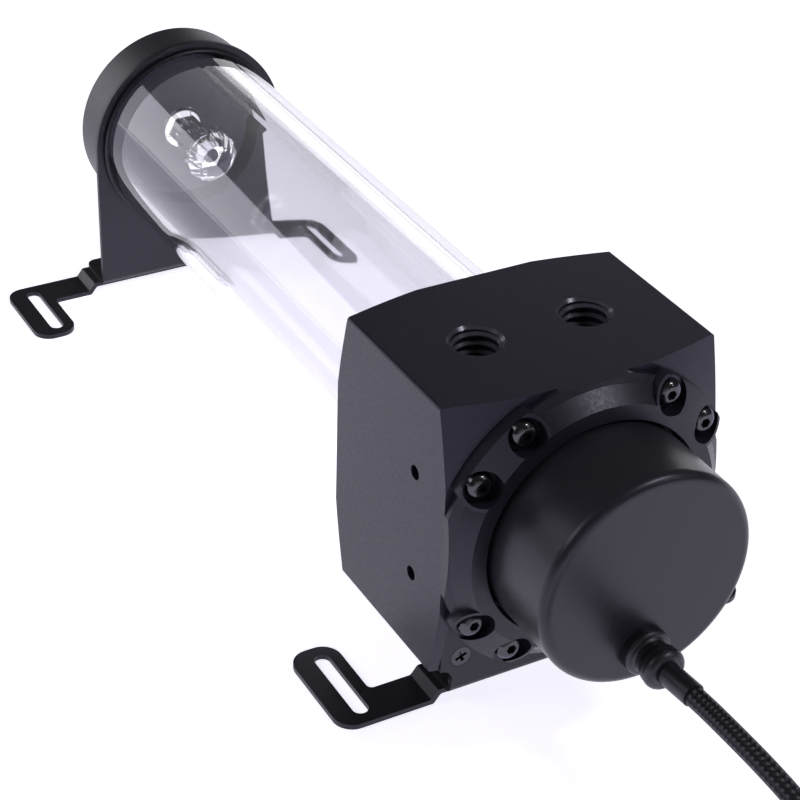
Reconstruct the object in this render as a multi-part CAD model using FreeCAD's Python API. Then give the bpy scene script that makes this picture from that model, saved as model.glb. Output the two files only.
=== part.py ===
import FreeCAD, Part
import math
import os

from FreeCAD import Vector

# Coolant pump with a tube reservoir, lying on two brackets. Millimetres.
# +X runs along the tube towards the pump, -Y is the block's side with two small holes, +Z is up.
# The origin is on the floor, in the middle of the four mounting slots.

# Mounting slots
slot_pitch_along = 213.3
slot_pitch_across = 109.6
slot_width = 4.4
slot_length = 25.7

# Sheet brackets
sheet = 1.5
bend_radius = 0.8
slot_rim_outside = 5.8
slot_rim_inside = 3.4
slot_rim_end = 3.45
bar_band = 11.3
bar_setback = 3.0
leg_corner = 5.5
joggle_rise = 2.6
joggle_run = 2.0
joggle_start = 34.2
flange_depth = 15.9
flange_inset = 3.3
ear_inset = 7.0
rear_plate_half = 32.9
relief_radius = 3.6
relief_lift = 2.6
rivet_radius = 1.6
rivet_head_radius = 3.2
rivet_head = 0.9
rivet_half_pitch = 22.0

# Pump block
block_side = 80.0
block_width = 79.0
block_gap = 7.4
corner_length = 46.8
end_rise = 4.6
face_radius = 43.5
edge_round = 0.8
port_pitch = 32.0
port_setback = 23.2
port_thread_radius = 6.58
port_mouth_radius = 7.4
port_thread_depth = 12.0
port_bore_radius = 5.0
passage_radius = 4.2
passage_drop = 13.0
inlet_radius = 6.5
side_hole_radius = 2.0
side_hole_depth = 10.0
side_hole_pitch = 30.8
side_hole_setback = 10.3

# Tube and cap
tube_radius = 30.0
tube_wall = 5.0
thread_step = 1.0
thread_in_block = 12.0
thread_in_cap = 8.0
chamber_depth = 10.0
cap_radius = 31.4
cap_length = 15.6
cap_round = 0.8
cap_plug_setback = 1.1
oring_thick = 1.6
oring_proud = 0.6
plug_oring_depth = 1.5
plug_oring_width = 2.2

# Light plug
light_shank_radius = 6.5
light_collar_radius = 7.7
light_collar_thick = 2.4
light_neck_flats = 10.0
light_neck_length = 13.0
light_head_radius = 8.6
light_head_length = 12.0
light_head_facets = 12
light_bore_radius = 2.6
light_oring_width = 1.5
light_oring_thick = 1.2

# Pump, inside
flange_land = 3.0
flange_thick = 5.0
volute_land = 6.0
volute_depth = 12.0
dome_wall = 1.2
rotor_gap = 0.8
rotor_skirt = 3.0
magnet_thick = 8.8
ball_radius = 3.0
ball_gap = 0.3
ball_ahead = 5.0
post_radius = 1.5
impeller_gap = 7.0
eye_radius = 7.5
plate_thick = 2.2
shroud_thick = 1.3
blade_height = 4.4
blade_thick = 1.3
blade_count = 7
blade_arc_radius = 12.0
blade_arc_offset = 9.0
pump_oring_width = 2.0
pump_oring_depth = 1.5

# Motor
ring_band = 13.2
can_wall = 1.0
can_length = 31.6
can_round = 2.6
pole_count = 6
pole_width = 7.0
yoke_thick = 3.6
crown_gap = 2.6
core_start = 3.4
coil_thick = 2.3
coil_depth = 5.5
coil_gap = 1.0
board_thick = 1.6
board_gap = 0.2
board_rim = 1.0
capacitor_radius = 4.0
choke_side = 9.0
chip_long = 6.0
chip_wide = 5.0
chip_high = 1.4

# Retaining ring, flange face to crest, and its screws
ring_bore_gap = 0.6
ring_height = 7.2
ring_lobe_height = 3.6
ring_waist_height = 1.7
ring_slope_height = 3.1
ring_lobe_inset = 0.5
ring_waist_inset = 2.3
ring_slope_inset = 4.4
ring_crest_inset = 8.0
screw_inset = 5.0
screw_half_angle = 12.2
pocket_radius = 4.8
boss_wall = 0.9
seat_height = 2.8
ring_screw_radius = 2.0
ring_screw_depth = 10.0
ring_screw_head_radius = 3.7
ring_screw_head = 2.4
ring_socket_flats = 2.5
ring_socket_depth = 1.3

# Countersunk screws of the front plate
plate_screw_inset = 5.9
plate_screw_lift = 2.9
plate_screw_radius = 1.5
plate_screw_head_radius = 2.9
plate_screw_depth = 8.0
cross_width = 0.9
cross_length = 3.4
cross_depth = 1.0

# Cable and what is on it
grommet_drop = 20.0
grommet_base_radius = 6.5
grommet_base = 3.2
grommet_waist_radius = 4.8
grommet_bulge_radius = 5.6
grommet_length = 11.0
grommet_lip_radius = 6.0
grommet_lip = 2.0
cable_radius = 2.7
sleeve_wall = 0.45
sleeve_length = 9.5
coil_radius = 29.0
plug_long = 17.0
plug_wide = 21.0
plug_high = 11.0
pin_radius = 1.9
pin_pitch = 4.8

# Clearances: between fixed pieces, round screws and threads, and round the cap, which comes off
fit = 0.15
hole_fit = 0.1
cap_fit = 0.3

# Places worked out from the sizes above
front_plate_half = face_radius - ear_inset
flange_half = front_plate_half - flange_inset
plate_screw_across = front_plate_half - plate_screw_inset
axis_height = joggle_rise + 2 * sheet + block_gap + block_side / 2
slot_x = slot_pitch_along / 2
slot_y = slot_pitch_across / 2
leg_length = slot_length + 2 * slot_rim_end
leg_width = slot_width + slot_rim_inside + slot_rim_outside
bar_half_length = slot_y + slot_width / 2 + slot_rim_outside
bar_edge_x = slot_x + leg_length / 2
x_plate = bar_edge_x + bar_setback
x_corner = x_plate - sheet
x_face = x_corner + end_rise
x_back_corner = x_corner - corner_length
x_back = x_back_corner - end_rise
x_rear_plate = bar_band - bar_edge_x + bar_setback
x_cap = x_rear_plate - sheet
x_cap_end = x_cap - cap_length
x_cap_plug = x_cap - cap_plug_setback
x_volute = x_face - flange_thick
x_volute_floor = x_volute - volute_depth
x_port = x_corner - port_setback
x_can_end = x_face + can_length
x_ball = x_volute + ball_ahead

thread_radius = tube_radius - thread_step
tube_bore = tube_radius - tube_wall
oring_radius = tube_radius + oring_proud
can_radius = face_radius - ring_band
flange_radius = can_radius + flange_land
volute_radius = flange_radius - volute_land
impeller_radius = volute_radius - impeller_gap
core_radius = can_radius - can_wall - hole_fit
dome_outer = core_radius - yoke_thick - coil_depth - coil_gap
dome_inner = dome_outer - dome_wall
core_length = x_volute + dome_outer + crown_gap - coil_thick - core_start - x_face
rotor_radius = dome_inner - rotor_gap
hub_radius = rotor_radius - magnet_thick
screw_circle_radius = face_radius - screw_inset
ring_slope_radius = face_radius - ring_slope_inset
ring_crest_radius = face_radius - ring_crest_inset
ring_waist_radius = face_radius - ring_waist_inset
ring_lobe_radius = face_radius - ring_lobe_inset
block_bottom = axis_height - block_side / 2
block_top = axis_height + block_side / 2
corner_reach = math.hypot(block_width, block_side) / 2
bar_top = joggle_rise + sheet
flange_top = bar_top + sheet
screw_angles = []
for quarter in range(4):
    diagonal = 45 + 90 * quarter
    screw_angles.append(diagonal - screw_half_angle)
    screw_angles.append(diagonal + screw_half_angle)
cable_exit_z = axis_height - grommet_drop

AXIS = Vector(0, 0, axis_height)
ALONG = Vector(1, 0, 0)


def rod(x0, x1, radius, y=0.0, z=axis_height):
    """Round bar along X from x0 to x1."""
    return Part.makeCylinder(radius, x1 - x0, Vector(x0, y, z), ALONG)


def box(x0, x1, y0, y1, z0, z1):
    return Part.makeBox(x1 - x0, y1 - y0, z1 - z0, Vector(x0, y0, z0))


def ring(x0, x1, outer, inner):
    """Round ring on the tube's axis."""
    return rod(x0, x1, outer).cut(rod(x0 - 1, x1 + 1, inner))


def turned(steps, y=0.0, z=axis_height):
    """Solid turned about X from (x, radius) points; four numbers are an arc's middle and end."""
    edges = []
    here = steps[0]
    closing = [] if steps[-1][-2:] == steps[0] else [steps[0]]
    for step in steps[1:] + closing:
        if len(step) == 4:
            middle = Vector(step[0], 0, step[1])
            there = (step[2], step[3])
            arc = Part.Arc(Vector(here[0], 0, here[1]), middle, Vector(there[0], 0, there[1]))
            edges.append(arc.toShape())
        else:
            there = step
            edges.append(Part.makeLine(Vector(here[0], 0, here[1]), Vector(there[0], 0, there[1])))
        here = there
    face = Part.Face(Part.Wire(edges))
    solid = face.revolve(Vector(0, 0, 0), ALONG, 360)
    solid.translate(Vector(0, y, z))
    return solid


def around(shape, degrees):
    """Copy turned about the tube's axis."""
    copy = shape.copy()
    copy.rotate(AXIS, ALONG, degrees)
    return copy


def at_angle(radius, degrees):
    """Y and Z of a point about the tube's axis; 0 degrees is +Y and 90 is up."""
    turn = math.radians(degrees)
    return radius * math.cos(turn), axis_height + radius * math.sin(turn)


def group(solids):
    return Part.Compound(solids)


def slot_cut(x, y, length, width, z0, z1):
    """Tool for an obround slot along X."""
    half = (length - width) / 2
    cut = box(x - half, x + half, y - width / 2, y + width / 2, z0, z1)
    for end in (-half, half):
        cut = cut.fuse(Part.makeCylinder(width / 2, z1 - z0, Vector(x + end, y, z0)))
    return cut


def round_edges(shape, radius, chosen):
    """Fillet of the straight edges that the test picks."""
    edges = []
    for edge in shape.Edges:
        if len(edge.Vertexes) == 2 and chosen(edge):
            edges.append(edge)
    return shape.makeFillet(radius, edges) if edges else shape


def runs_along(edge, axis):
    """True for an edge parallel to the axis, 0 for X, 1 for Y, 2 for Z."""
    span = edge.Vertexes[1].Point.sub(edge.Vertexes[0].Point)
    others = [abs(span[i]) for i in range(3) if i != axis]
    return max(others) < 1e-6 < abs(span[axis])


def block_ends():
    """Envelope of the block's two ends, turned to a shallow cone outside the flat face."""
    slope = end_rise / (corner_reach - face_radius)
    reach = corner_reach + 2.0
    fall = slope * (reach - face_radius)
    steps = [(x_back, 0), (x_back, face_radius), (x_back + fall, reach)]
    steps += [(x_face - fall, reach), (x_face, face_radius), (x_face, 0)]
    return turned(steps)


def port(y, towards_x):
    """Threaded port from the top, and the passage from its foot towards the pump or the tube."""
    mouth_fall = port_mouth_radius - port_thread_radius
    thread_end = block_top - port_thread_depth
    passage_z = axis_height + passage_drop
    foot = passage_z - port_bore_radius
    cut = Part.makeCylinder(port_thread_radius, port_thread_depth, Vector(x_port, y, thread_end))
    cut = cut.fuse(Part.makeCone(port_thread_radius, port_mouth_radius, mouth_fall,
                                 Vector(x_port, y, block_top - mouth_fall)))
    cut = cut.fuse(Part.makeCylinder(port_bore_radius, thread_end - foot, Vector(x_port, y, foot)))
    low, high = sorted((x_port, towards_x))
    return cut.fuse(rod(low, high, passage_radius, y, passage_z))


def pump_block():
    body = box(x_back, x_face, -block_width / 2, block_width / 2, block_bottom, block_top)
    body = round_edges(body, edge_round, lambda edge: runs_along(edge, 0))
    body = body.common(block_ends())
    # pump side: seat of the pump's flange with its seal groove, then the volute
    body = body.cut(rod(x_volute, x_face + 1, flange_radius + hole_fit))
    body = body.cut(rod(x_volute_floor, x_volute, volute_radius))
    groove_out = flange_radius - 2.0
    body = body.cut(ring(x_volute - pump_oring_depth, x_volute, groove_out,
                         groove_out - pump_oring_width))
    # tube side: thread, then the chamber behind the tube's end
    x_thread_end = x_back + thread_in_block + hole_fit
    x_chamber_end = x_thread_end + chamber_depth
    body = body.cut(rod(x_back - 1, x_thread_end, thread_radius + hole_fit))
    body = body.cut(rod(x_thread_end, x_chamber_end, tube_bore))
    body = body.cut(rod(x_chamber_end - 1, x_volute_floor + 1, inlet_radius))
    # ports: outlet on the left feeds from the volute, inlet on the right feeds the chamber
    body = body.cut(port(-port_pitch / 2, x_volute_floor + 1))
    body = body.cut(port(port_pitch / 2, x_chamber_end - 1))
    # two small threaded holes in the left side
    for lift in (-side_hole_pitch / 2, side_hole_pitch / 2):
        start = Vector(x_corner - side_hole_setback, -block_width / 2 - 1, axis_height + lift)
        body = body.cut(Part.makeCylinder(side_hole_radius, side_hole_depth + 1, start,
                                          Vector(0, 1, 0)))
    # screw holes of the retaining ring
    for angle in screw_angles:
        y, z = at_angle(screw_circle_radius, angle)
        depth = ring_screw_depth - seat_height + 1.0
        body = body.cut(rod(x_face - depth, x_face + 1, ring_screw_radius + hole_fit, y, z))
    # recess and screw holes of the front plate
    body = body.cut(plate_recess())
    for side in (-1, 1):
        y = side * plate_screw_across
        z = block_bottom + plate_screw_lift
        body = body.cut(rod(x_corner - plate_screw_depth, x_corner + 1,
                            plate_screw_radius + hole_fit, y, z))
    return body


def ear_top():
    """Height where the plate's ears end bluntly, just below the point where arc and edge meet."""
    outside = math.sqrt(ear_arc_radius() ** 2 - front_plate_half ** 2)
    return axis_height - outside - 1.2


def ear_arc_radius():
    """The plate's arc clears the ring's screws and ends under the ring's rim."""
    return screw_circle_radius + ring_screw_radius + 0.9


def plate_recess():
    half = front_plate_half + 2 * fit
    cut = box(x_corner, x_face + 1, -half, half, block_bottom - 1, ear_top() + 2 * fit)
    return cut.cut(rod(x_corner - 1, x_face + 2, ear_arc_radius() - 2 * fit))


def bent_plate(x_outer, half_width, z_top):
    """Upright sheet with its foot bent rearward, lying on the bar."""
    outer = bend_radius + sheet
    z0 = bar_top
    centre = (x_outer - outer, z0 + outer)
    lean = math.sqrt(0.5)

    def arc(radius):
        start = Vector(centre[0] + radius, 0, centre[1])
        middle = Vector(centre[0] + radius * lean, 0, centre[1] - radius * lean)
        end = Vector(centre[0], 0, centre[1] - radius)
        return Part.Arc(start, middle, end).toShape(), start, end

    outer_arc, outer_start, outer_end = arc(outer)
    inner_arc, inner_start, inner_end = arc(bend_radius)
    top_out = Vector(x_outer, 0, z_top)
    top_in = Vector(x_outer - sheet, 0, z_top)
    tip_low = Vector(x_outer - flange_depth, 0, z0)
    tip_high = Vector(x_outer - flange_depth, 0, z0 + sheet)
    wire = Part.Wire([
        Part.makeLine(top_out, outer_start), outer_arc,
        Part.makeLine(outer_end, tip_low), Part.makeLine(tip_low, tip_high),
        Part.makeLine(tip_high, inner_end), inner_arc,
        Part.makeLine(inner_start, top_in), Part.makeLine(top_in, top_out)])
    profile = Part.Face(wire)
    profile.translate(Vector(0, -half_width, 0))
    plate = profile.extrude(Vector(0, 2 * half_width, 0))
    x_tip = x_outer - flange_depth

    def at_tip(edge):
        return runs_along(edge, 2) and abs(edge.Vertexes[0].X - x_tip) < 1e-6

    return round_edges(plate, 3.0, at_tip)


def rivet_holes(x):
    holes = []
    for side in (-1, 1):
        start = Vector(x, side * rivet_half_pitch, 0)
        holes.append(Part.makeCylinder(rivet_radius, flange_top + 5, start))
    return group(holes)


def front_bracket_plate():
    plate = bent_plate(x_plate, front_plate_half, ear_top())
    plate = plate.cut(rod(x_corner - 1, x_plate + 1, ear_arc_radius()))
    # bend reliefs: a round bite at each lower corner, and a flange narrower than the plate
    relief_z = bar_top + bend_radius + sheet + relief_lift
    for side in (-1, 1):
        edge_y = side * front_plate_half
        plate = plate.cut(rod(x_corner - 2, x_plate + 1, relief_radius, edge_y, relief_z))
        low, high = sorted((side * flange_half, side * (front_plate_half + 1)))
        plate = plate.cut(box(x_plate - flange_depth - 1, x_plate + 1, low, high, 0, relief_z))
        z = block_bottom + plate_screw_lift
        sink = plate_screw_head_radius - plate_screw_radius
        plate = plate.cut(rod(x_corner - 1, x_plate + 1, plate_screw_radius + fit,
                              side * plate_screw_across, z))
        cone = Part.makeCone(plate_screw_radius + fit, plate_screw_head_radius + fit, sink,
                             Vector(x_plate - sink, side * plate_screw_across, z), ALONG)
        plate = plate.cut(cone)
    return plate.cut(rivet_holes(band_middle(1)))


def rear_bracket_plate():
    plate = bent_plate(x_rear_plate, rear_plate_half, axis_height)
    plate = plate.fuse(rod(x_cap, x_rear_plate, rear_plate_half)).removeSplitter()
    plate = plate.cut(rod(x_cap - 1, x_rear_plate + 1, thread_radius + hole_fit))
    return plate.cut(rivet_holes(band_middle(-1)))


def band_middle(side):
    """X of the middle of a bar's cross band: side 1 is the front bar, -1 the rear one."""
    return side * (bar_edge_x - bar_band / 2)


def joggled_sheet():
    """Sheet that lies on the floor at both ends and is raised in the middle."""
    lean = sheet * math.tan(math.atan2(joggle_rise, joggle_run) / 2)
    low_y = joggle_start + joggle_run
    half = bar_half_length + 1
    bottom = [(-half, 0), (-low_y, 0), (-joggle_start, joggle_rise),
              (joggle_start, joggle_rise), (low_y, 0), (half, 0)]
    top = [(half, sheet), (low_y + lean, sheet), (joggle_start + lean, bar_top),
           (-joggle_start - lean, bar_top), (-low_y - lean, sheet), (-half, sheet)]
    corners = [Vector(0, y, z) for y, z in bottom + top]
    face = Part.Face(Part.makePolygon(corners + corners[:1]))
    strip = face.extrude(Vector(leg_length, 0, 0))

    def at_joggle(edge):
        return runs_along(edge, 0) and abs(edge.Vertexes[0].Y) < bar_half_length

    return round_edges(strip, bend_radius, at_joggle)


def foot_bar(side):
    """Joggled bar with a slotted leg at each end; side 1 is the front, -1 its mirror image."""
    x_in = bar_edge_x - bar_band
    x_leg = bar_edge_x - leg_length
    half = bar_half_length
    flat = box(x_in, bar_edge_x, -half, half, -1, bar_top + 1)
    for hand in (-1, 1):
        low, high = sorted((hand * half, hand * (half - leg_width)))
        flat = flat.fuse(box(x_leg, bar_edge_x, low, high, -1, bar_top + 1))
    flat = flat.removeSplitter()

    def outer_corner(edge):
        y = abs(edge.Vertexes[0].Y)
        inner_end = abs(edge.Vertexes[0].X - x_leg) < 1e-6
        return runs_along(edge, 2) and (abs(y - half) < 1e-6 or inner_end)

    flat = round_edges(flat, leg_corner, outer_corner)

    def inside_corner(edge):
        at_band = abs(edge.Vertexes[0].X - x_in) < 1e-6
        return runs_along(edge, 2) and at_band and abs(edge.Vertexes[0].Y) < half - 1

    flat = round_edges(flat, bend_radius + sheet / 2, inside_corner)
    for hand in (-1, 1):
        flat = flat.cut(slot_cut(slot_x, hand * slot_y, slot_length, slot_width,
                                 -2, bar_top + 2))
    strip = joggled_sheet()
    strip.translate(Vector(x_leg, 0, 0))
    bar = strip.common(flat)
    bar = bar.cut(rivet_holes(band_middle(1)))
    if side < 0:
        bar = bar.mirror(Vector(0, 0, 0), ALONG)
    return bar


def bar_rivets(side):
    """Rivets through flange and bar, with a head above and one below."""
    x = band_middle(side)
    solids = []
    for hand in (-1, 1):
        y = hand * rivet_half_pitch
        shank = Part.makeCylinder(rivet_radius, flange_top - joggle_rise, Vector(x, y, joggle_rise))
        under = Part.makeCylinder(rivet_head_radius, rivet_head,
                                  Vector(x, y, joggle_rise - rivet_head))
        over = Part.makeCylinder(rivet_head_radius, rivet_head, Vector(x, y, flange_top))
        solids.append(shank.fuse([under, over]))
    return group(solids)


def plate_screws():
    """Countersunk cross-head screws of the front plate."""
    sink = plate_screw_head_radius - plate_screw_radius
    z = block_bottom + plate_screw_lift
    solids = []
    for side in (-1, 1):
        y = side * plate_screw_across
        x_end = x_corner - plate_screw_depth + 1.0
        screw = rod(x_end, x_plate - sink, plate_screw_radius, y, z)
        screw = screw.fuse(Part.makeCone(plate_screw_radius, plate_screw_head_radius, sink,
                                         Vector(x_plate - sink, y, z), ALONG))
        bar_a = box(x_plate - cross_depth, x_plate + 1, y - cross_length / 2,
                    y + cross_length / 2, z - cross_width / 2, z + cross_width / 2)
        bar_b = bar_a.copy()
        bar_b.rotate(Vector(0, y, z), ALONG, 90)
        cross = bar_a.fuse(bar_b)
        cross.rotate(Vector(0, y, z), ALONG, 22)
        solids.append(screw.cut(cross))
    return group(solids)


def retaining_ring():
    """Clamp ring: a waist with two cones, and a thicker lobe for each pair of screws."""
    bore = can_radius + ring_bore_gap
    top = x_face + ring_height
    crest = [(top, ring_crest_radius), (top, bore + 0.4), (top - 0.4, bore)]
    waist = turned([(x_face, bore), (x_face, ring_waist_radius),
                    (x_face + ring_waist_height, ring_waist_radius),
                    (x_face + ring_slope_height, ring_slope_radius)] + crest)
    lobes = turned([(x_face, bore), (x_face, ring_lobe_radius),
                    (x_face + ring_lobe_height, ring_lobe_radius)] + crest)
    body = waist.fuse(lobes.common(lobe_outlines())).removeSplitter()
    body = body.common(box(x_face - 1, top + 1, -block_width / 2, block_width / 2,
                           block_bottom, block_top))
    for angle in screw_angles:
        y, z = at_angle(screw_circle_radius, angle)
        body = body.cut(rod(x_face + seat_height, top + 1, pocket_radius, y, z))
        body = body.cut(rod(x_face - 1, x_face + seat_height + 1,
                            ring_screw_radius + hole_fit, y, z))
    return body


def lobe_outlines():
    """Four wedges, each closed by a boss round the screw at either side."""
    x0 = x_face - 1
    x1 = x_face + ring_height + 1
    reach = ring_lobe_radius / math.cos(math.radians(screw_half_angle)) + 1
    outlines = []
    for quarter in range(4):
        diagonal = 45 + 90 * quarter
        corners = [(0.0, axis_height), at_angle(reach, diagonal - screw_half_angle),
                   at_angle(reach, diagonal + screw_half_angle)]
        points = [Vector(x0, y, z) for y, z in corners + corners[:1]]
        outlines.append(Part.Face(Part.makePolygon(points)).extrude(Vector(x1 - x0, 0, 0)))
    for angle in screw_angles:
        y, z = at_angle(screw_circle_radius, angle)
        outlines.append(rod(x0, x1, pocket_radius + boss_wall, y, z))
    return outlines[0].fuse(outlines[1:])


def ring_screws():
    """Eight button-head screws with hexagon sockets."""
    x_seat = x_face + seat_height
    tip = x_seat - ring_screw_depth
    top = x_seat + ring_screw_head
    crown = ring_screw_head_radius * 0.45
    shoulder = (x_seat + ring_screw_head * 0.62, ring_screw_head_radius * 0.86)
    steps = [(tip, 0), (tip, ring_screw_radius), (x_seat, ring_screw_radius),
             (x_seat, ring_screw_head_radius), shoulder, (top, crown), (top, 0)]
    solids = []
    for angle in screw_angles:
        y, z = at_angle(screw_circle_radius, angle)
        screw = turned(steps, y, z)
        socket = Part.makePolygon(hexagon(top - ring_socket_depth, y, z, ring_socket_flats))
        socket = Part.Face(socket).extrude(Vector(ring_socket_depth + 1, 0, 0))
        solids.append(screw.cut(socket))
    return group(solids)


def hexagon(x, y, z, flats, sides=6):
    """Closed ring of corner points across the X axis."""
    reach = flats / 2 / math.cos(math.pi / sides)
    points = []
    for i in range(sides + 1):
        turn = 2 * math.pi * i / sides
        points.append(Vector(x, y + reach * math.cos(turn), z + reach * math.sin(turn)))
    return points


def reservoir_tube():
    """Clear tube with a turned-down thread at each end and a shoulder behind it."""
    x0 = x_cap - thread_in_cap
    x1 = x_rear_plate + oring_thick
    x2 = x_back - oring_thick
    x3 = x_back + thread_in_block
    return turned([(x0, tube_bore), (x0, thread_radius), (x1, thread_radius), (x1, tube_radius),
                   (x2, tube_radius), (x2, thread_radius), (x3, thread_radius), (x3, tube_bore)])


def tube_oring(x0):
    """Seal ring pressed flat between the tube's shoulder and the piece beside it."""
    size = (oring_radius - thread_radius) * 0.3
    x1 = x0 + oring_thick
    return turned([
        (x0, thread_radius), (x0, oring_radius - size), (x0 + size, oring_radius),
        (x1 - size, oring_radius), (x1, oring_radius - size), (x1, thread_radius)])


def end_cap():
    """Turned cap: outer skirt with the tube's thread, inner plug with a seal groove."""
    groove_floor = x_cap - thread_in_cap - hole_fit
    plug_radius = tube_bore - 2 * cap_fit
    cap = turned([(x_cap_end, 0)]
                 + [(x_cap_end, cap_radius - cap_round),
                    (x_cap_end + cap_round * 0.293, cap_radius - cap_round * 0.293,
                     x_cap_end + cap_round, cap_radius)]
                 + [(x_cap, cap_radius), (x_cap, thread_radius + cap_fit),
                    (groove_floor, thread_radius + cap_fit), (groove_floor, plug_radius),
                    (x_cap_plug, plug_radius), (x_cap_plug, 0)])
    x_groove = cap_groove_x()
    cap = cap.cut(ring(x_groove, x_groove + plug_oring_width, plug_radius + 1,
                       tube_bore - plug_oring_depth))
    cap = cap.cut(rod(x_cap_end - 1, x_cap_plug + 1, light_shank_radius + hole_fit))
    seat = light_shank_radius + light_oring_width
    return cap.cut(rod(x_cap_plug - light_oring_thick, x_cap_plug + 1, seat))


def cap_groove_x():
    """Start of the seal groove, half way down the cap's plug."""
    return x_cap_plug - (cap_plug_depth() + plug_oring_width) / 2


def cap_plug_depth():
    return x_cap_plug - (x_cap - thread_in_cap)


def end_cap_oring():
    x0 = cap_groove_x()
    return ring(x0, x0 + plug_oring_width, tube_bore - cap_fit, tube_bore - plug_oring_depth)


def facet_stack(sections):
    """Faceted solid through regular polygons given as (x, radius)."""
    wires = []
    for x, radius in sections:
        flats = 2 * radius * math.cos(math.pi / light_head_facets)
        wires.append(Part.makePolygon(hexagon(x, 0, axis_height, flats, light_head_facets)))
    return Part.makeLoft(wires, True, True)


def light_plug():
    """Clear plug: shank in the cap, collar, spanner neck and faceted head in the coolant."""
    x_collar = x_cap_plug + light_collar_thick
    x_neck = x_collar + light_neck_length
    x_tip = x_neck + light_head_length
    plug = rod(x_cap_end + 1.0, x_cap_plug, light_shank_radius)
    plug = plug.fuse(rod(x_cap_plug, x_collar, light_collar_radius))
    neck = Part.Face(Part.makePolygon(hexagon(x_collar, 0, axis_height, light_neck_flats)))
    plug = plug.fuse(neck.extrude(Vector(light_neck_length, 0, 0)))
    head = facet_stack([(x_neck, light_head_radius * 0.72),
                        (x_neck + light_head_length * 0.25, light_head_radius),
                        (x_neck + light_head_length * 0.7, light_head_radius),
                        (x_tip, light_head_radius * 0.62)])
    plug = plug.fuse(head).removeSplitter()
    return plug.cut(rod(x_cap_end, x_neck + light_head_length / 3, light_bore_radius))


def light_plug_oring():
    outer = light_shank_radius + light_oring_width
    return ring(x_cap_plug - light_oring_thick, x_cap_plug, outer, light_shank_radius)


def pump_flange():
    """Plastic flange of the pump with the dome round the rotor."""
    foot = math.sqrt(dome_outer ** 2 - flange_thick ** 2)
    half = math.atan2(foot, flange_thick) / 2
    lean = math.sqrt(0.5)
    return turned([
        (x_volute, dome_inner), (x_volute, flange_radius), (x_face, flange_radius),
        (x_face, foot),
        (x_volute + dome_outer * math.cos(half), dome_outer * math.sin(half),
         x_volute + dome_outer, 0),
        (x_volute + dome_inner, 0),
        (x_volute + dome_inner * lean, dome_inner * lean, x_volute, dome_inner)])


def pump_oring():
    outer = flange_radius - 2.0
    return ring(x_volute - pump_oring_depth, x_volute, outer, outer - pump_oring_width)


def bearing_post():
    """Pin fixed in the dome's crown; its tip sits in the ball."""
    x_crown = x_volute + dome_inner
    return rod(x_ball, x_crown, post_radius).cut(outside_dome())


def outside_dome():
    """All that lies beyond the dome's inner face."""
    shell = Part.makeBox(200, 200, 200, Vector(x_volute - 100, -100, axis_height - 100))
    return shell.cut(Part.makeSphere(dome_inner, Vector(x_volute, 0, axis_height)))


def bearing_ball():
    ball = Part.makeSphere(ball_radius, Vector(x_ball, 0, axis_height), ALONG)
    return ball.cut(rod(x_ball, x_ball + ball_radius + 1, post_radius))


def impeller():
    """Closed impeller: back plate, curved blades, shroud, and the hub with the ball's cup."""
    x_back_plate = x_volute - rotor_skirt
    x_blades = x_back_plate - plate_thick
    x_shroud = x_blades - blade_height
    wheel = rod(x_blades, x_back_plate, impeller_radius)
    wheel = wheel.fuse(ring(x_shroud - shroud_thick, x_shroud, impeller_radius, eye_radius))
    blades = []
    for i in range(blade_count):
        blades.append(around(blade(x_shroud, x_blades), 360.0 * i / blade_count))
    wheel = wheel.fuse(blades)
    hub = rod(x_back_plate, x_volute + rotor_radius, hub_radius)
    hub = hub.common(Part.makeSphere(rotor_radius, Vector(x_volute, 0, axis_height))
                     .fuse(rod(x_back_plate, x_volute, rotor_radius)))
    wheel = wheel.fuse(hub).removeSplitter()
    cup = Part.makeSphere(ball_radius + ball_gap, Vector(x_ball, 0, axis_height), ALONG)
    throat = rod(x_ball, x_volute + rotor_radius + 1, ball_radius + ball_gap)
    return wheel.cut(cup).cut(throat)


def blade(x0, x1):
    """One blade: half of an off-centre arc wall, trimmed to the wheel and its eye."""
    radius = blade_arc_radius
    centre_z = axis_height + blade_arc_offset
    wall = rod(x0, x1, radius + blade_thick / 2, 0, centre_z)
    wall = wall.cut(rod(x0 - 1, x1 + 1, radius - blade_thick / 2, 0, centre_z))
    wall = wall.common(box(x0, x1, 0, 2 * impeller_radius, axis_height - impeller_radius,
                           axis_height + 2 * impeller_radius))
    wall = wall.common(rod(x0, x1, impeller_radius - 0.3))
    return wall.cut(rod(x0 - 1, x1 + 1, eye_radius))


def rotor_magnet():
    """Half-round magnet ring pressed on the hub."""
    x_skirt = x_volute - rotor_skirt
    x_end = x_volute + math.sqrt(rotor_radius ** 2 - hub_radius ** 2)
    turn = math.atan2(hub_radius, x_end - x_volute)
    middle = (turn + math.pi / 2) / 2
    return turned([(x_skirt, hub_radius), (x_skirt, rotor_radius), (x_volute, rotor_radius),
                   (x_volute + rotor_radius * math.cos(middle), rotor_radius * math.sin(middle),
                    x_end, hub_radius)])


def stator_core():
    """Ring of laminations with its poles reaching to the dome."""
    x0 = x_face + core_start
    x1 = x0 + core_length
    core = ring(x0, x1, core_radius, core_radius - yoke_thick)
    tip = dome_outer + 2 * fit
    for i in range(pole_count):
        pole = box(x0, x1, -pole_width / 2, pole_width / 2, axis_height + tip,
                   axis_height + core_radius - yoke_thick / 2)
        pole = pole.cut(rod(x0 - 1, x1 + 1, tip))
        core = core.fuse(around(pole, 360.0 * i / pole_count))
    return core.removeSplitter()


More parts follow.
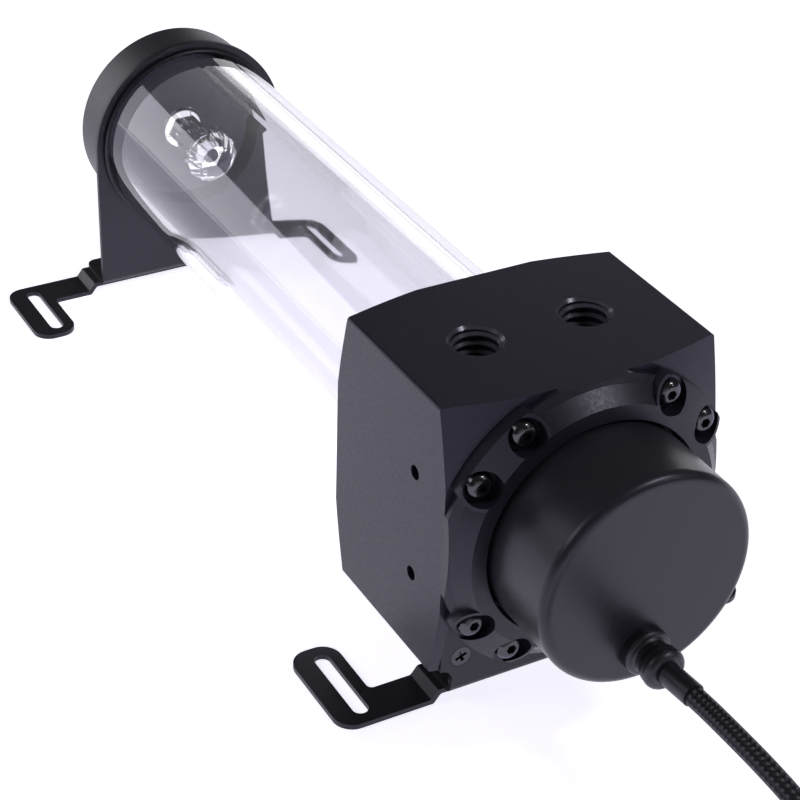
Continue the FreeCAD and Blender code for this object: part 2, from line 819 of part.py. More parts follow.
def stator_coils():
    """One winding round each pole."""
    x0 = x_face + core_start
    x1 = x0 + core_length
    outer = core_radius - yoke_thick
    inner = outer - coil_depth
    half = pole_width / 2
    solids = []
    for i in range(pole_count):
        coil = box(x0 - coil_thick, x1 + coil_thick, -half - coil_thick, half + coil_thick,
                   axis_height + inner, axis_height + outer)
        coil = coil.cut(box(x0, x1, -half, half, axis_height, axis_height + outer + 1))
        coil = coil.common(rod(x0 - coil_thick, x1 + coil_thick, outer - fit))
        coil = coil.cut(rod(x0 - coil_thick - 1, x1 + coil_thick + 1, inner))
        solids.append(around(coil, 360.0 * i / pole_count))
    return group(solids)


def controller_board():
    """Round board behind the windings, with two capacitors, a choke and the driver chips."""
    x0 = x_face + core_start + core_length + coil_thick + board_gap
    x1 = x0 + board_thick
    room = x_can_end - can_wall - x1
    tall = room * 0.7
    reach = can_radius - can_wall - board_rim
    board = rod(x0, x1, reach)
    for across, up in ((-0.43, 0.36), (-0.04, 0.57)):
        board = board.fuse(rod(x1, x1 + tall, capacitor_radius, across * reach,
                               axis_height + up * reach))
    y = 0.32 * reach
    z = axis_height + 0.07 * reach
    board = board.fuse(box(x1, x1 + tall * 0.6, y, y + choke_side, z, z + choke_side))
    z = axis_height - 0.2 * reach
    for place in (-1, 0, 1):
        y = (0.36 * place - 0.18) * reach
        board = board.fuse(box(x1, x1 + chip_high, y - chip_long / 2, y + chip_long / 2,
                               z - chip_wide / 2, z + chip_wide / 2))
    return board.removeSplitter()


def pump_can():
    """Drawn can with a rounded front rim and a hole for the grommet."""
    x0 = x_face
    x1 = x_can_end
    lean = can_round * (1 - math.sqrt(0.5))
    inner = can_radius - can_wall
    soft = can_round - can_wall
    lean_in = soft * (1 - math.sqrt(0.5))
    can = turned([
        (x0, inner), (x0, can_radius), (x1 - can_round, can_radius),
        (x1 - lean, can_radius - lean, x1, can_radius - can_round), (x1, 0),
        (x1 - can_wall, 0), (x1 - can_wall, inner - soft),
        (x1 - can_wall - lean_in, inner - lean_in, x1 - can_wall - soft, inner)])
    return can.cut(rod(x1 - can_wall - 1, x1 + 1, grommet_waist_radius, 0, cable_exit_z))


def cable_grommet():
    """Rubber grommet snapped into the can, with a long soft nose."""
    x0 = x_can_end
    x_in = x0 - can_wall
    base = x0 + grommet_base
    nose = x0 + grommet_length
    waist_end = base + 2.0
    return turned([
        (x_in - grommet_lip, cable_radius), (x_in - grommet_lip, grommet_waist_radius),
        (x_in - 0.6, grommet_lip_radius), (x_in, grommet_lip_radius),
        (x_in, grommet_waist_radius), (x0, grommet_waist_radius),
        (x0, grommet_base_radius), (base - 1.2, grommet_base_radius),
        (base - 0.35, grommet_base_radius - 0.35, base, grommet_base_radius - 1.2),
        (base + 0.6, grommet_waist_radius),
        (waist_end, grommet_waist_radius),
        (waist_end + 1.5, grommet_bulge_radius - 0.1, nose - 3.0, grommet_bulge_radius),
        (nose - 0.5, grommet_bulge_radius - 0.5, nose, grommet_bulge_radius - 1.3),
        (nose, cable_radius)], 0, cable_exit_z)


def cable_points():
    """Route of the cable from the grommet's nose, down to the floor and into the coil."""
    return [
        Vector(x_can_end + grommet_length, 0.0, cable_exit_z),
        Vector(183.0, 0.9, cable_exit_z),
        Vector(195.0, 1.6, 32.4),
        Vector(208.5, 4.2, 29.0),
        Vector(222.5, 8.6, 21.6),
        Vector(238.0, 14.4, 11.8),
        Vector(254.5, 20.0, 4.7),
        Vector(272.0, 23.3, cable_radius + 0.1)]


def coil_centre():
    """The cable runs into the outer turn on the coil's right side."""
    end = cable_points()[-1]
    return Vector(end.x, end.y - coil_radius - cable_radius, 0)


def tail_points():
    """Short free length from the coil to the connector."""
    centre = coil_centre()
    y = centre.y - coil_radius
    return [
        Vector(centre.x, y, 7.4),
        Vector(centre.x - 12.0, y - 0.8, 7.0),
        Vector(centre.x - 25.0, y - 3.4, 5.9),
        Vector(centre.x - 37.0, y - 7.2, plug_high / 2)]


def cord(points, radius, name):
    """Round cord along straight runs joined by the largest tangent arcs that fit."""
    edges = []
    radii = []
    here = points[0]
    for before, corner, after in zip(points, points[1:], points[2:]):
        arriving = corner.sub(before)
        leaving = after.sub(corner)
        back = min(arriving.Length, leaving.Length) * 0.45
        arriving.normalize()
        leaving.normalize()
        half_turn = arriving.getAngle(leaving) / 2
        bend = back / math.tan(half_turn)
        radii.append(round(bend, 1))
        start = corner.sub(Vector(arriving).multiply(back))
        end = corner.add(Vector(leaving).multiply(back))
        inward = Vector(leaving).sub(arriving)
        inward.normalize()
        middle = corner.add(inward.multiply(bend / math.cos(half_turn) - bend))
        edges.append(Part.LineSegment(here, start).toShape())
        edges.append(Part.Arc(start, middle, end).toShape())
        here = end
    edges.append(Part.LineSegment(here, points[-1]).toShape())
    path = Part.Wire(edges)
    first = points[1].sub(points[0])
    section = Part.Wire(Part.makeCircle(radius, points[0], first))
    tube = path.makePipeShell([section], True, False)
    expected = math.pi * radius ** 2 * path.Length
    print(name, "bend radii", radii, "length", round(path.Length, 1),
          "volume over section times length", round(tube.Volume / expected, 4))
    return tube


def pump_cable():
    return cord(cable_points(), cable_radius, "pump_cable")


def cable_tail():
    return cord(tail_points(), cable_radius, "cable_tail")


def cable_sleeve():
    """Shrink sleeve over the cable where it leaves the grommet."""
    points = cable_points()
    along = points[1].sub(points[0])
    along.normalize()
    outer = cable_radius + sleeve_wall
    sleeve = Part.makeCylinder(outer, sleeve_length, points[0], along)
    return sleeve.cut(Part.makeCylinder(cable_radius, sleeve_length, points[0], along))


def cable_coil():
    """Outer shape of the coiled length, lying on the floor."""
    centre = coil_centre()
    half = 2 * cable_radius
    soft = half * 0.6
    corners = []
    for across, up in ((-1, -1), (1, -1), (1, 1), (-1, 1)):
        middle = Vector(centre.x + coil_radius + across * half, centre.y, half + up * half)
        before = Vector(middle.x, middle.y, middle.z - up * soft)
        beside = Vector(middle.x - across * soft, middle.y, middle.z)
        corners += [before, beside] if across * up > 0 else [beside, before]
    corners = corners[1:] + corners[:1]
    face = Part.Face(Part.makePolygon(corners + corners[:1]))
    return face.revolve(Vector(centre.x, centre.y, 0), Vector(0, 0, 1), 360)


def power_connector():
    """Four-way power connector: body with two cut corners and four round pin bores."""
    tail = tail_points()
    heading = tail[-1].sub(tail[-2])
    heading.z = 0
    heading.normalize()
    x1 = 0.0
    body = box(x1, x1 + plug_long, -plug_wide / 2, plug_wide / 2, -plug_high / 2, plug_high / 2)

    def top_corner(edge):
        return runs_along(edge, 0) and edge.Vertexes[0].Z > 0

    corners = [edge for edge in body.Edges if top_corner(edge)]
    body = body.makeChamfer(2.4, corners)
    for i in range(4):
        y = (i - 1.5) * pin_pitch
        body = body.cut(Part.makeCylinder(pin_radius, plug_long * 0.7,
                                          Vector(x1 + plug_long * 0.4, y, 0), ALONG))
    turn = math.degrees(math.atan2(heading.y, heading.x))
    body.rotate(Vector(0, 0, 0), Vector(0, 0, 1), turn)
    body.translate(tail[-1])
    return body


parts = {
    "pump_block": pump_block(),
    "reservoir_tube": reservoir_tube(),
    "tube_front_oring": tube_oring(x_back - oring_thick),
    "tube_rear_oring": tube_oring(x_rear_plate),
    "end_cap": end_cap(),
    "end_cap_oring": end_cap_oring(),
    "light_plug": light_plug(),
    "light_plug_oring": light_plug_oring(),
    "rear_bracket_plate": rear_bracket_plate(),
    "rear_foot_bar": foot_bar(-1),
    "rear_bar_rivets": bar_rivets(-1),
    "front_bracket_plate": front_bracket_plate(),
    "front_foot_bar": foot_bar(1),
    "front_bar_rivets": bar_rivets(1),
    "plate_screws": plate_screws(),
    "retaining_ring": retaining_ring(),
    "ring_screws": ring_screws(),
    "pump_flange": pump_flange(),
    "pump_oring": pump_oring(),
    "bearing_post": bearing_post(),
    "bearing_ball": bearing_ball(),
    "impeller": impeller(),
    "rotor_magnet": rotor_magnet(),
    "stator_core": stator_core(),
    "stator_coils": stator_coils(),
    "controller_board": controller_board(),
    "pump_can": pump_can(),
    "cable_grommet": cable_grommet(),
    "cable_sleeve": cable_sleeve(),
    "pump_cable": pump_cable(),
    "cable_coil": cable_coil(),
    "cable_tail": cable_tail(),
    "power_connector": power_connector(),
}

os.makedirs("parts", exist_ok=True)
for name, shape in parts.items():
    shape.exportStep("parts/" + name + ".step")
    print(name, "solids", len(shape.Solids), "valid", shape.isValid(),
          "volume", round(shape.Volume, 1))
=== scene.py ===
import math

import bmesh
import bpy
from mathutils import Matrix, Vector


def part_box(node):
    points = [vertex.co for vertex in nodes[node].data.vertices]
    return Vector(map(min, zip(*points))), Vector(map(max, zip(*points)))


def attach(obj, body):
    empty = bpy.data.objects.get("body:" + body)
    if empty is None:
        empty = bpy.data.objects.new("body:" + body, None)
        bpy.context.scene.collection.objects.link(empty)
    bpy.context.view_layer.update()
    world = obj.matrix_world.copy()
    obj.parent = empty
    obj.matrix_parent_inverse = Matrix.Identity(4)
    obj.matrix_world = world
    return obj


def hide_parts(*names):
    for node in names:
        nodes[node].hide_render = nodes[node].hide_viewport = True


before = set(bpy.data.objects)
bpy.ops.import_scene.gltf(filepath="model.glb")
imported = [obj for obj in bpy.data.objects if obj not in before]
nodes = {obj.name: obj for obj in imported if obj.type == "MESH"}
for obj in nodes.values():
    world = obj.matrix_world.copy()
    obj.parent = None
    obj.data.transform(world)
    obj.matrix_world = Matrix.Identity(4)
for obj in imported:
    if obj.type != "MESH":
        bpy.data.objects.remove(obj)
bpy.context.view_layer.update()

# Camera. A long lens that looks down on the pump's end from the side with the two small holes,
# tilted by about two degrees. Its place and its turns, in radians, were fitted to the photograph.
camera_place = (0.494019, -0.262236, 0.373024)
heading, dip, roll = 0.5205907, 0.5723082, 0.0354892
camera_data = bpy.data.cameras.new("studio_camera")
camera_data.sensor_width = 36.0
camera_data.lens = 98.45
camera_data.clip_start = 0.02
camera_data.clip_end = 20.0
camera = bpy.data.objects.new("studio_camera", camera_data)
bpy.context.scene.collection.objects.link(camera)
looking = Vector((-math.cos(heading) * math.cos(dip),
                  math.sin(heading) * math.cos(dip), -math.sin(dip)))
rightwards = Vector((math.sin(heading), math.cos(heading), 0.0))
upwards = rightwards.cross(looking)
rolled_right = rightwards * math.cos(roll) + upwards * math.sin(roll)
rolled_up = upwards * math.cos(roll) - rightwards * math.sin(roll)
camera_turn = Matrix((rolled_right, rolled_up, -looking)).transposed().to_4x4()
camera.matrix_world = Matrix.Translation(camera_place) @ camera_turn
bpy.context.scene.camera = camera

# Pump cable. A thin power lead in a black woven sleeve. It leaves the grommet on the can's
# face, drops to the floor and runs out of the picture; its unseen length lies there, coiled.
cable_radius = 0.0027
cable_route = [
    (0.17165, 0.0, 0.0330), (0.1830, 0.0009, 0.0330), (0.1950, 0.0016, 0.0324),
    (0.2085, 0.0042, 0.0290), (0.2225, 0.0086, 0.0216), (0.2380, 0.0144, 0.0118),
    (0.2545, 0.0200, 0.0047), (0.2720, 0.0233, 0.0028)]
coil_radius = 0.029
coil_turns, coil_steps = 2.5, 16
outer_lane = coil_radius + cable_radius
coil_x, entry_y, on_floor = cable_route[-1]
coil_y = entry_y - outer_lane
climb = 0.0047


def eased(value, start, end):
    """0 before start, 1 after end, and a smooth rise between them."""
    share = min(1.0, max(0.0, (value - start) / (end - start)))
    return share * share * (3.0 - 2.0 * share)


# The second turn lies inside the first; the rest climbs on both and lies between them.
for step in range(1, int(coil_turns * coil_steps)):
    turns = step / coil_steps
    inwards = 2 * cable_radius * eased(turns, 0.82, 1.0)
    outwards = cable_radius * eased(turns, 1.78, 2.0)
    lane = outer_lane - inwards + outwards
    height = on_floor + climb * eased(turns, 1.70, 1.96)
    angle = math.radians(90.0 - 360.0 * turns)
    cable_route.append((coil_x + lane * math.cos(angle), coil_y + lane * math.sin(angle), height))
cable_route += [
    (coil_x, coil_y - coil_radius, 0.0074), (0.2600, coil_y - 0.0298, 0.0070),
    (0.2470, coil_y - 0.0324, 0.0059), (0.2350, coil_y - 0.0362, 0.0055)]
cable_line = bpy.data.curves.new("pump_lead", "CURVE")
cable_line.dimensions = "3D"
cable_line.bevel_depth = cable_radius
cable_line.bevel_resolution = 8
cable_line.resolution_u = 10
cable_line.use_fill_caps = True
strand = cable_line.splines.new("NURBS")
strand.points.add(len(cable_route) - 1)
for place, point in zip(strand.points, cable_route):
    place.co = (*point, 1.0)
strand.order_u = 3
strand.use_endpoint_u = True
pump_lead = bpy.data.objects.new("pump_lead", cable_line)
bpy.context.scene.collection.objects.link(pump_lead)
gloss_tint = (0.84, 0.82, 1.0, 1.0)


def new_material(name, colour, roughness, metallic=0.0, specular=0.5):
    """A material with one principled shader, its even values set on the shader itself."""
    made = bpy.data.materials.new(name)
    made.use_nodes = True
    shader = made.node_tree.nodes["Principled BSDF"]
    shader.inputs["Base Color"].default_value = (*colour, 1.0)
    shader.inputs["Roughness"].default_value = roughness
    shader.inputs["Metallic"].default_value = metallic
    shader.inputs["Specular IOR Level"].default_value = specular
    shader.inputs["Specular Tint"].default_value = gloss_tint
    made.diffuse_color = (*colour, 1.0)
    return made, made.node_tree, shader


def math_node(tree, kind, first, second=0.0):
    """Result of one step of arithmetic, on sockets or numbers."""
    made = tree.nodes.new("ShaderNodeMath")
    made.operation = kind
    for socket, value in zip(made.inputs, (first, second)):
        if isinstance(value, (int, float)):
            socket.default_value = value
        else:
            tree.links.new(value, socket)
    return made.outputs[0]


def spread(tree, value, low, high, start=0.3, end=0.7):
    """The value's range from start to end, stretched over low to high."""
    made = tree.nodes.new("ShaderNodeMapRange")
    made.inputs["From Min"].default_value = start
    made.inputs["From Max"].default_value = end
    made.inputs["To Min"].default_value = low
    made.inputs["To Max"].default_value = high
    tree.links.new(value, made.inputs["Value"])
    return made.outputs["Result"]


def tint(tree, shader, value, dark, light):
    """Colours the shader between dark and light, by the value."""
    made = tree.nodes.new("ShaderNodeMix")
    made.data_type = "RGBA"
    made.inputs["A"].default_value = (*dark, 1.0)
    made.inputs["B"].default_value = (*light, 1.0)
    tree.links.new(value, made.inputs["Factor"])
    tree.links.new(made.outputs["Result"], shader.inputs["Base Color"])


def bumps(tree, shader, height, strength, depth):
    """Bump from the height, on top of the shader's earlier one if it has one."""
    made = tree.nodes.new("ShaderNodeBump")
    made.inputs["Strength"].default_value = strength
    made.inputs["Distance"].default_value = depth
    tree.links.new(height, made.inputs["Height"])
    if shader.inputs["Normal"].is_linked:
        earlier = shader.inputs["Normal"].links[0].from_socket
        tree.links.new(earlier, made.inputs["Normal"])
    tree.links.new(made.outputs["Normal"], shader.inputs["Normal"])


braid, tree, shader = new_material("woven_sleeve", (0.012, 0.012, 0.014), 0.55)
waves_around, waves_along = 5.0, 230.0
unrolled = tree.nodes.new("ShaderNodeTexCoord")
apart = tree.nodes.new("ShaderNodeSeparateXYZ")
tree.links.new(unrolled.outputs["UV"], apart.inputs[0])
around = math_node(tree, "MULTIPLY", apart.outputs["Y"], 2 * math.pi * waves_around)
along = math_node(tree, "MULTIPLY", apart.outputs["X"], 2 * math.pi * waves_along)
one_way = math_node(tree, "SINE", math_node(tree, "ADD", around, along))
other_way = math_node(tree, "SINE", math_node(tree, "SUBTRACT", around, along))
weave = math_node(tree, "MULTIPLY", one_way, other_way)
fleck = spread(tree, weave, 0.0, 1.0, start=0.25, end=0.75)
tint(tree, shader, fleck, dark=(0.008, 0.008, 0.010), light=(0.13, 0.13, 0.15))
bumps(tree, shader, weave, strength=0.6, depth=0.0003)
pump_lead.data.materials.append(braid)
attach(pump_lead, "housing")
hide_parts("pump_cable", "cable_coil", "cable_tail")

# Floor and light. A pale studio sweep; it is seen as white, and keeps the part's soft shadow.
# Two broad lamps light the part from the left, one of them low and behind; two weak ones, in
# front and behind, fill its shade, and two small ones on the right give the sharp highlights.
bpy.context.scene.view_settings.view_transform = "Standard"
floor_reach, floor_drop = 3.0, 0.00005
paper_glow, paper_glow_colour = 0.86, (0.99, 0.975, 1.07, 1.0)
sky_light, sky_gloss = 0.04, 0.04
part_middle = Vector((0.0, 0.0, 0.05))


def finished_piece(name, build, material):
    """Object made of the finished bmesh, in its material."""
    mesh = bpy.data.meshes.new(name)
    build.to_mesh(mesh)
    build.free()
    mesh.materials.append(material)
    piece = bpy.data.objects.new(name, mesh)
    bpy.context.scene.collection.objects.link(piece)
    return piece


def in_view(tree, ray):
    """1 for a ray of the camera, also through clear plastic, and 0 for one that only lights."""
    seen = math_node(tree, "ADD", ray.outputs["Is Camera Ray"], ray.outputs["Is Transmission Ray"])
    return math_node(tree, "MINIMUM", seen, 1.0)


paper, tree, shader = new_material("pale_paper", (0.84, 0.83, 0.90), 0.9, specular=0.1)
ray = tree.nodes.new("ShaderNodeLightPath")
shown = math_node(tree, "MAXIMUM", in_view(tree, ray), ray.outputs["Is Glossy Ray"])
shader.inputs["Emission Color"].default_value = paper_glow_colour
tree.links.new(math_node(tree, "MULTIPLY", shown, paper_glow), shader.inputs["Emission Strength"])
sweep = bmesh.new()
bmesh.ops.create_grid(sweep, x_segments=1, y_segments=1, size=floor_reach)
bmesh.ops.translate(sweep, verts=sweep.verts, vec=(0.0, 0.0, -floor_drop))
studio_floor = finished_piece("studio_floor", sweep, paper)

studio = bpy.data.worlds.new("studio")
bpy.context.scene.world = studio
studio.use_nodes = True
tree = studio.node_tree
backdrop = tree.nodes["Background"]
backdrop.inputs["Color"].default_value = (1.0, 1.0, 1.0, 1.0)
ray = tree.nodes.new("ShaderNodeLightPath")
mirrored = math_node(tree, "MULTIPLY", ray.outputs["Is Glossy Ray"], sky_gloss)
shown = math_node(tree, "MAXIMUM", in_view(tree, ray), mirrored)
level = spread(tree, shown, sky_light, 1.0, start=0.0, end=1.0)
tree.links.new(level, backdrop.inputs["Strength"])


def soft_lamp(name, place, wide, tall, power):
    """Rectangular lamp that faces the part."""
    lamp_data = bpy.data.lights.new(name, "AREA")
    lamp_data.shape = "RECTANGLE"
    lamp_data.size = wide
    lamp_data.size_y = tall
    lamp_data.energy = power
    lamp = bpy.data.objects.new(name, lamp_data)
    bpy.context.scene.collection.objects.link(lamp)
    facing = (part_middle - Vector(place)).to_track_quat("-Z", "Y")
    lamp.matrix_world = Matrix.Translation(place) @ facing.to_matrix().to_4x4()


soft_lamp("lamp_left", (-1.25, -0.72, 0.36), wide=0.9, tall=0.7, power=4.2)
soft_lamp("lamp_side", (-0.30, -1.50, 1.10), wide=1.0, tall=0.6, power=5.0)
soft_lamp("lamp_front", (1.45, -0.25, 0.35), wide=0.9, tall=0.5, power=0.6)
soft_lamp("lamp_over", (0.75, 0.65, 1.10), wide=0.26, tall=0.18, power=3.7)
soft_lamp("lamp_behind", (-1.00, 1.10, 0.30), wide=1.0, tall=0.4, power=1.7)
soft_lamp("lamp_spark", (1.16, 0.86, 0.73), wide=0.18, tall=0.14, power=0.6)

# Black plastic. The block, the ring and the cap are cut from one satin black plastic. The
# lathe leaves fine rings on the turned faces; the milled sides have a fine even grain.
axis_height = 0.053
tube_axis = (1.0, 0.0, 0.0)
grain_depth, ring_depth = 0.0001, 0.00006
# A wave pattern of scale 1 turns by 20 radians in a metre.
wave_factor = 20.0


def own_place(tree):
    """Position in the piece's own space."""
    return tree.nodes.new("ShaderNodeTexCoord").outputs["Object"]


def place_from_axis(tree):
    """Position measured from the tube's axis."""
    centred = tree.nodes.new("ShaderNodeMapping")
    centred.inputs["Location"].default_value = (0.0, 0.0, -axis_height)
    tree.links.new(own_place(tree), centred.inputs["Vector"])
    return centred.outputs["Vector"]


def grain(tree, size, detail=3.0):
    """Fine noise, its grain about that many metres across."""
    noise = tree.nodes.new("ShaderNodeTexNoise")
    noise.inputs["Scale"].default_value = 1.0 / size
    noise.inputs["Detail"].default_value = detail
    tree.links.new(own_place(tree), noise.inputs["Vector"])
    return noise.outputs["Fac"]


def even_marks(tree, place, kind, pitch):
    """Bands across X, or rings about it, that many metres apart."""
    made = tree.nodes.new("ShaderNodeTexWave")
    made.wave_type = kind
    made.bands_direction = "X"
    made.rings_direction = "X"
    made.inputs["Scale"].default_value = 2 * math.pi / (wave_factor * pitch)
    tree.links.new(place, made.inputs["Vector"])
    return made


def lathe_rings(tree, pitch):
    """Slightly uneven rings about the tube's axis."""
    rings = even_marks(tree, place_from_axis(tree), "RINGS", pitch)
    rings.inputs["Distortion"].default_value = 0.6
    rings.inputs["Detail"].default_value = 1.0
    return rings.outputs["Fac"]


def turned_gloss(tree, shader, amount):
    """Stretches the gloss across the marks of a lathe, which run round the tube's axis."""
    around_axis = tree.nodes.new("ShaderNodeVectorMath")
    around_axis.operation = "CROSS_PRODUCT"
    around_axis.inputs[0].default_value = tube_axis
    tree.links.new(place_from_axis(tree), around_axis.inputs[1])
    tree.links.new(around_axis.outputs["Vector"], shader.inputs["Tangent"])
    shader.inputs["Anisotropic"].default_value = amount


def grained(name, colour, roughness, metallic=0.0, specular=0.5, mottle=None, gloss=None,
            relief=None):
    """A material with fine grains: mottle is their size, dark and light colour, gloss their size,
    lowest and highest roughness, and relief their size and strength."""
    made, tree, shader = new_material(name, colour, roughness, metallic, specular)
    if mottle:
        size, dark, light = mottle
        tint(tree, shader, grain(tree, size), dark, light)
    if gloss:
        size, low, high = gloss
        tree.links.new(spread(tree, grain(tree, size), low, high), shader.inputs["Roughness"])
    if relief:
        size, strength = relief
        bumps(tree, shader, grain(tree, size), strength, grain_depth)
    return made


def satin_black(name, dark, light, roughness, ring_pitch=None, ring_strength=0.0):
    """Machined black plastic, with turning rings if a pitch is given."""
    made = grained(
        name, light, roughness, mottle=(0.004, dark, light),
        gloss=(0.0009, roughness - 0.05, roughness + 0.06), relief=(0.0004, 0.12))
    if ring_pitch:
        tree = made.node_tree
        shader = tree.nodes["Principled BSDF"]
        bumps(tree, shader, lathe_rings(tree, ring_pitch), ring_strength, ring_depth)
        turned_gloss(tree, shader, 2.0 * ring_strength)
    return made


def dress(material, *names):
    """Gives CAD pieces their material."""
    for name in names:
        nodes[name].data.materials.clear()
        nodes[name].data.materials.append(material)


block_black = satin_black(
    "block_black", dark=(0.0155, 0.0142, 0.030), light=(0.0205, 0.0188, 0.039), roughness=0.42)
ring_black = satin_black(
    "ring_black", dark=(0.0165, 0.0155, 0.026), light=(0.0215, 0.020, 0.034), roughness=0.38,
    ring_pitch=0.0005, ring_strength=0.10)
cap_black = satin_black(
    "cap_black", dark=(0.019, 0.018, 0.027), light=(0.024, 0.023, 0.034), roughness=0.36,
    ring_pitch=0.0013, ring_strength=0.40)
dress(block_black, "pump_block")
dress(ring_black, "retaining_ring")
dress(cap_black, "end_cap")

# Port threads. Both ports are tapped in the block below a wide polished chamfer; the crests of
# the thread show inside as rings. A ridge wound in a helix stands on each bore's wall.
block_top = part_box("pump_block")[1].z
port_x, port_half_pitch = 0.10125, 0.016
bore_radius, crest_radius, mouth_radius = 0.00658, 0.00580, 0.0074
thread_pitch, thread_turns, thread_steps = 0.0026, 4, 40
root_half, crest_half, first_crest = 0.00075, 0.00015, 0.0011
chamfer_depth, chamfer_steps, lip = 0.0008, 64, 0.00002
crisp_angle = math.radians(32.0)
upright = (0.0, 0.0, 1.0)


def spun_ring(build, outline, centre, axis, steps):
    """Closed ring, its outline spun once round the axis through the centre."""
    corners = [build.verts.new(point) for point in outline]
    sides = [build.edges.new((corners[i - 1], corners[i])) for i in range(len(corners))]
    bmesh.ops.spin(build, geom=corners + sides, cent=centre, axis=axis,
                   angle=2 * math.pi, steps=steps, use_merge=True)


def shade_round(build):
    """Smooth shading, with the sharper edges left crisp."""
    for face in build.faces:
        face.smooth = True
    for edge in build.edges:
        edge.smooth = edge.calc_face_angle(math.pi) < crisp_angle


# The chamfers and the thread's ridges are a lighter black than the block: a painted highlight,
# added on top of the real gloss of their low roughness.
painted_highlight_black = satin_black(
    "cut_edge_painted_highlight", dark=(0.078, 0.075, 0.098), light=(0.092, 0.088, 0.115), roughness=0.22)
for port_name, side in (("port_out_thread", -1), ("port_in_thread", 1)):
    port_y = side * port_half_pitch
    ridge = bmesh.new()
    crest_z = block_top - first_crest
    outline = []
    for radius, height in ((bore_radius, -root_half), (crest_radius, -crest_half),
                           (crest_radius, crest_half), (bore_radius, root_half)):
        outline.append(ridge.verts.new((port_x + radius, port_y, crest_z + height)))
    section = ridge.faces.new(outline)
    bmesh.ops.spin(ridge, geom=[section, *section.edges, *section.verts],
                   cent=(port_x, port_y, 0.0), axis=upright,
                   dvec=(0.0, 0.0, -thread_pitch / thread_steps),
                   angle=2 * math.pi * thread_turns, steps=thread_steps * thread_turns)
    chamfer = []
    for radius, height in ((mouth_radius, 0.0), (bore_radius - lip, -chamfer_depth),
                           (bore_radius + 0.5 * lip, -chamfer_depth - 2.5 * lip),
                           (mouth_radius + lip, -1.5 * lip)):
        chamfer.append((port_x + radius, port_y, block_top + height))
    spun_ring(ridge, chamfer, (port_x, port_y, 0.0), upright, chamfer_steps)
    bmesh.ops.recalc_face_normals(ridge, faces=ridge.faces)
    shade_round(ridge)
    port_thread = finished_piece(port_name, ridge, painted_highlight_black)
    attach(port_thread, "housing")

# Sheet brackets. Both upright plates and both slotted bars are steel sheet, cut, bent and then
# coated satin black; two short rivets hold each plate's flange on its bar.
sheet_black = grained(
    "coated_sheet", (0.016, 0.016, 0.021), 0.42,
    mottle=(0.006, (0.014, 0.014, 0.018), (0.019, 0.019, 0.024)),
    gloss=(0.0012, 0.36, 0.48), relief=(0.0005, 0.2))
dress(sheet_black, "front_bracket_plate", "rear_bracket_plate", "front_foot_bar", "rear_foot_bar")

# Screws and rivets. Two countersunk cross-head screws hold the front plate on the block, and
# the rivets hold the bars. All are black-oxide steel, a little oily, with small sharp highlights.
black_oxide = grained(
    "black_oxide", (0.085, 0.085, 0.095), 0.2, metallic=0.9,
    gloss=(0.0008, 0.13, 0.24), relief=(0.0005, 0.15))
dress(black_oxide, "plate_screws", "front_bar_rivets", "rear_bar_rivets")

# Ring screws. Eight button-head socket screws of black-oxide steel. Each head is a low round
# dome about its socket, on top of the solid's plainer head; only its rim and socket are crisp.
seat_x, screw_circle, screw_lean = 0.13185, 0.0385, 12.2
head_radius, crown_radius = 0.00372, 0.00150
rim_height, dome_height = 0.00030, 0.00214
crown_tuck, rim_tuck, rim_drop = 0.0003, 0.0003, 0.0002
dome_steps, head_steps = 9, 36
weld_distance = 0.000002
heads = bmesh.new()
heads.from_mesh(nodes["ring_screws"].data)
bmesh.ops.transform(heads, matrix=nodes["ring_screws"].matrix_world, verts=heads.verts)
bmesh.ops.remove_doubles(heads, verts=heads.verts, dist=weld_distance)
dome = [(crown_radius, rim_height + dome_height - crown_tuck)]
for step in range(dome_steps + 1):
    slope = math.radians(90.0 * step / dome_steps)
    dome.append((crown_radius + (head_radius - crown_radius) * math.sin(slope),
                 rim_height + dome_height * math.cos(slope)))
dome.append((head_radius - rim_tuck, rim_height - rim_drop))
for lobe in range(4):
    for lean in (-screw_lean, screw_lean):
        angle = math.radians(45.0 + 90.0 * lobe + lean)
        screw_y = screw_circle * math.cos(angle)
        screw_z = axis_height + screw_circle * math.sin(angle)
        outline = [(seat_x + height, screw_y + radius, screw_z) for radius, height in dome]
        spun_ring(heads, outline, (seat_x, screw_y, screw_z), tube_axis, head_steps)
bmesh.ops.recalc_face_normals(heads, faces=heads.faces)
shade_round(heads)
button_screws = finished_piece("button_screws", heads, black_oxide)
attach(button_screws, "housing")
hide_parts("ring_screws")

# Motor can. A cup of drawn sheet metal with a smooth satin black coat, open towards the block.
# The retaining ring clamps it there, and the grommet sits in a hole in its face.
can_black = grained(
    "can_coat", (0.026, 0.026, 0.036), 0.32,
    mottle=(0.005, (0.024, 0.024, 0.034), (0.028, 0.028, 0.039)),
    gloss=(0.0007, 0.28, 0.37), relief=(0.0004, 0.1))
dress(can_black, "pump_can")

# Rubber. The O-rings in their grooves and the grommet on the can are moulded, black, smooth and
# half matt; the shrink sleeve on the cable has the same look.
rubber = grained(
    "black_rubber", (0.012, 0.012, 0.016), 0.42, specular=0.7,
    mottle=(0.003, (0.010, 0.010, 0.013), (0.016, 0.016, 0.021)),
    gloss=(0.001, 0.36, 0.50), relief=(0.0006, 0.2))
dress(rubber, "tube_front_oring", "tube_rear_oring", "end_cap_oring", "light_plug_oring",
      "pump_oring", "cable_grommet", "cable_sleeve")

# Clear acrylic. The tube is cast, thick in the wall and faintly lavender; the light plug is
# turned from a clearer rod and polished. Shadow rays pass both, a little weakened.


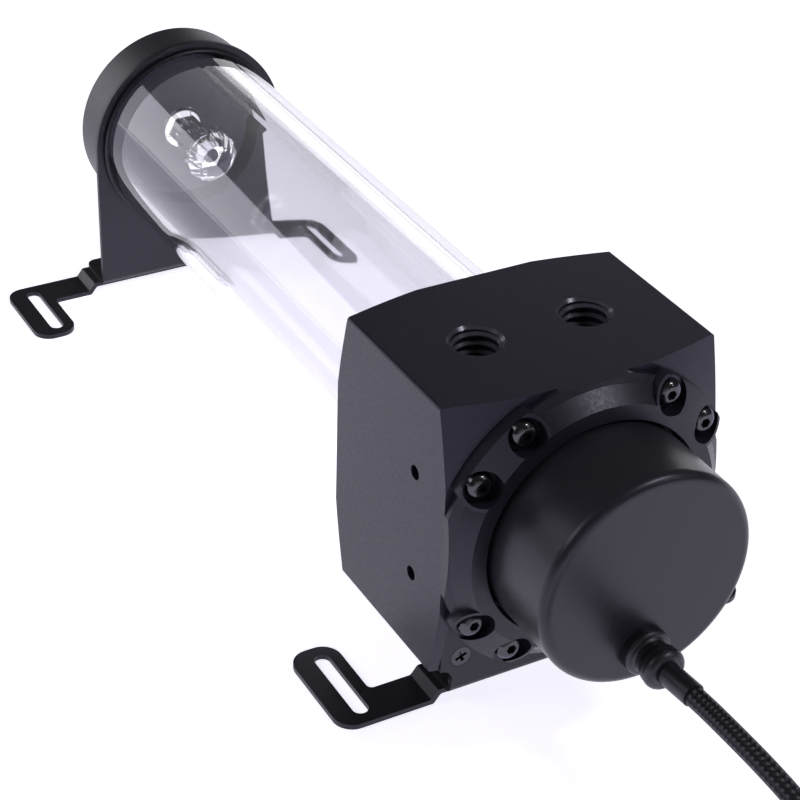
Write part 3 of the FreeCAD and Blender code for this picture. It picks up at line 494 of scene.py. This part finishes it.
def clear_plastic(name, colour, shade):
    """Polished clear plastic; shade is the share of the light that its shadow lets through."""
    made, tree, shader = new_material(name, colour, 0.03)
    shader.inputs["IOR"].default_value = 1.49
    shader.inputs["Transmission Weight"].default_value = 1.0
    bumps(tree, shader, grain(tree, 0.012, detail=1.0), strength=0.02, depth=0.0002)
    ray = tree.nodes.new("ShaderNodeLightPath")
    through = tree.nodes.new("ShaderNodeBsdfTransparent")
    through.inputs["Color"].default_value = (*shade, 1.0)
    choice = tree.nodes.new("ShaderNodeMixShader")
    tree.links.new(ray.outputs["Is Shadow Ray"], choice.inputs["Fac"])
    tree.links.new(shader.outputs["BSDF"], choice.inputs[1])
    tree.links.new(through.outputs["BSDF"], choice.inputs[2])
    tree.links.new(choice.outputs["Shader"], tree.nodes["Material Output"].inputs["Surface"])
    return made


cast_acrylic = clear_plastic(
    "cast_acrylic", colour=(0.835, 0.83, 0.868), shade=(0.93, 0.925, 0.94))
polished_acrylic = clear_plastic(
    "polished_acrylic", colour=(0.98, 0.975, 0.99), shade=(0.96, 0.955, 0.965))
dress(cast_acrylic, "reservoir_tube")
dress(polished_acrylic, "light_plug")

# Pump, inside. Moulded white plastic for the flange with its dome and for the impeller, a
# polished pin and ball, a dark magnet, laminations, windings and the green board.
sheet_pitch, wire_pitch = 0.0005, 0.0006
white_mould = grained(
    "white_moulding", (0.72, 0.72, 0.70), 0.45,
    mottle=(0.003, (0.68, 0.68, 0.66), (0.75, 0.75, 0.73)), relief=(0.0006, 0.15))
dress(white_mould, "pump_flange", "impeller")
bright_steel = grained(
    "bright_steel", (0.7, 0.7, 0.71), 0.2, metallic=1.0, gloss=(0.001, 0.15, 0.3))
dress(bright_steel, "bearing_post", "bearing_ball")
magnet_grey = grained(
    "magnet_grey", (0.10, 0.10, 0.105), 0.5,
    mottle=(0.001, (0.08, 0.08, 0.085), (0.13, 0.13, 0.135)))
dress(magnet_grey, "rotor_magnet")
laminations, tree, shader = new_material("laminations", (0.42, 0.42, 0.44), 0.4, metallic=0.9)
stack = even_marks(tree, own_place(tree), "BANDS", sheet_pitch)
tint(tree, shader, stack.outputs["Fac"], dark=(0.30, 0.30, 0.32), light=(0.5, 0.5, 0.52))
dress(laminations, "stator_core")
winding, tree, shader = new_material("copper_winding", (0.62, 0.26, 0.10), 0.35, metallic=0.8)
wires = even_marks(tree, own_place(tree), "RINGS", wire_pitch)
tint(tree, shader, wires.outputs["Fac"], dark=(0.40, 0.15, 0.05), light=(0.70, 0.32, 0.13))
dress(winding, "stator_coils")
board_green = grained(
    "board_green", (0.03, 0.18, 0.08), 0.35,
    mottle=(0.002, (0.02, 0.14, 0.06), (0.04, 0.22, 0.10)))
dress(board_green, "controller_board")

# Power connector. A four-way plug, moulded in black plastic, on the cable's far end. It lies
# beside the coil, past the picture's edge.
connector_black = grained(
    "connector_black", (0.022, 0.022, 0.024), 0.5,
    mottle=(0.002, (0.018, 0.018, 0.020), (0.028, 0.028, 0.031)), relief=(0.0007, 0.25))
dress(connector_black, "power_connector")
